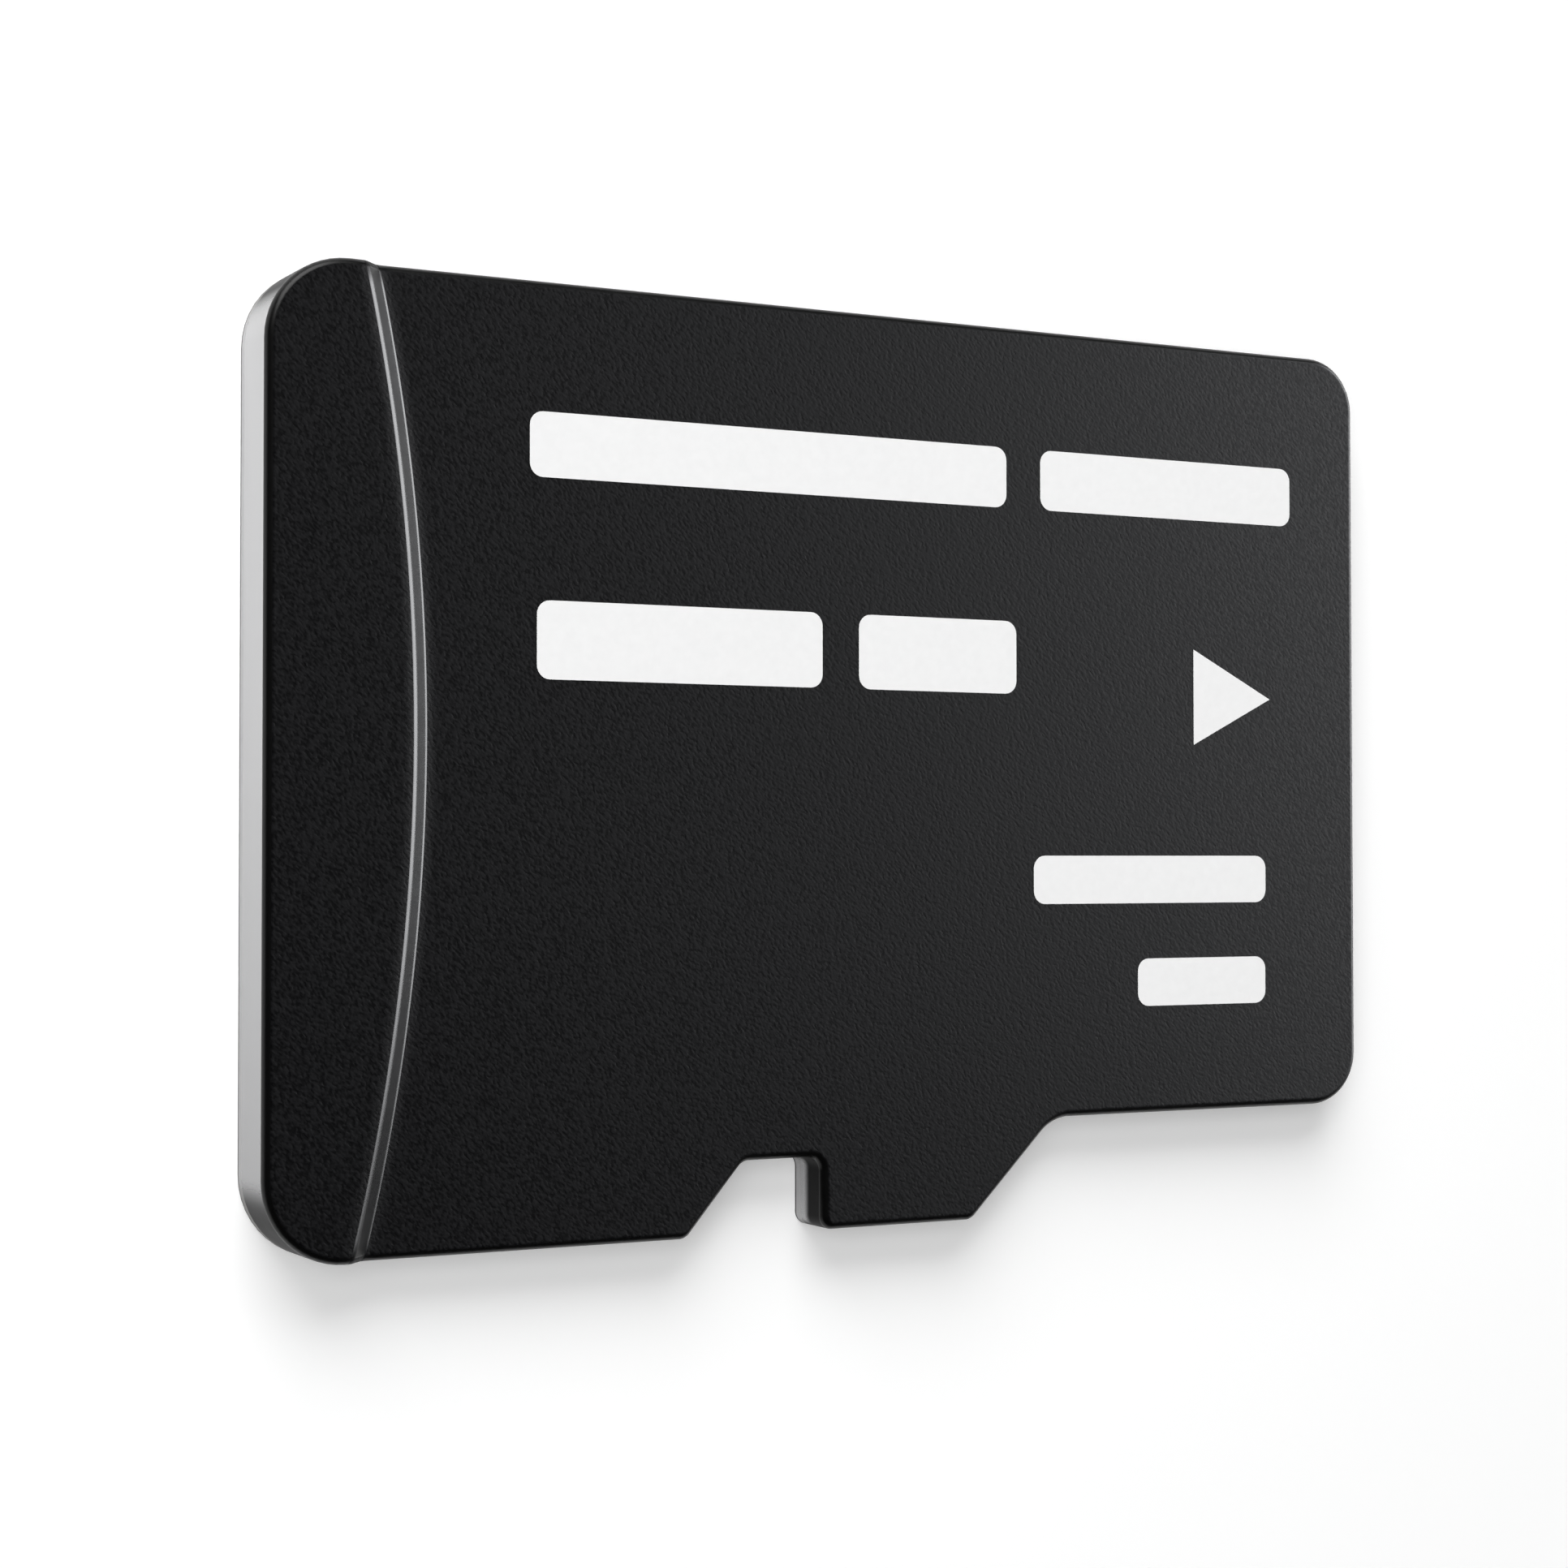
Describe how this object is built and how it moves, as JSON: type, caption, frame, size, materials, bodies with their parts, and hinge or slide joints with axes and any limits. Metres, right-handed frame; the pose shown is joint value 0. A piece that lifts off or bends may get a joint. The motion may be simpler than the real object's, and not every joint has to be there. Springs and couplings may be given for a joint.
{
  "type": "memory card",
  "caption": "Small flat black memory card with a bowed finger ridge at the butt end, a latch notch, a stepped contact end and gold contacts on the back.",
  "frame": {"origin": "on the back face, under the middle of the card", "axes": "+X towards the contact end, which enters the slot first, -Y towards the notched edge, +Z out of the printed face"},
  "size_m": [0.015, 0.011, 0.0009],
  "materials": {
    "black_moulding": "fine moulded grain on the faces, satin ridge and side walls, bright lapped butt end",
    "masked_laminate": "satin black solder mask, pale cut edge",
    "gold_plate": "satin gold plate",
    "silicon": "polished",
    "chip_ceramic": "matte",
    "gold_wire": "bright"
  },
  "bodies": {
    "root": {"moulded_body": "black_moulding", "substrate_board": "masked_laminate", "contact_data_2": "gold_plate", "contact_data_3": "gold_plate", "contact_command": "gold_plate", "contact_supply": "gold_plate", "contact_clock": "gold_plate", "contact_ground": "gold_plate", "contact_data_0": "gold_plate", "contact_data_1": "gold_plate", "memory_die_1": "silicon", "memory_die_2": "silicon", "memory_die_3": "silicon", "memory_die_4": "silicon", "controller_die": "silicon", "capacitor_1": "chip_ceramic", "capacitor_2": "chip_ceramic", "capacitor_3": "chip_ceramic", "capacitor_4": "chip_ceramic", "bond_wires": "gold_wire"}
  },
  "joints": []
}
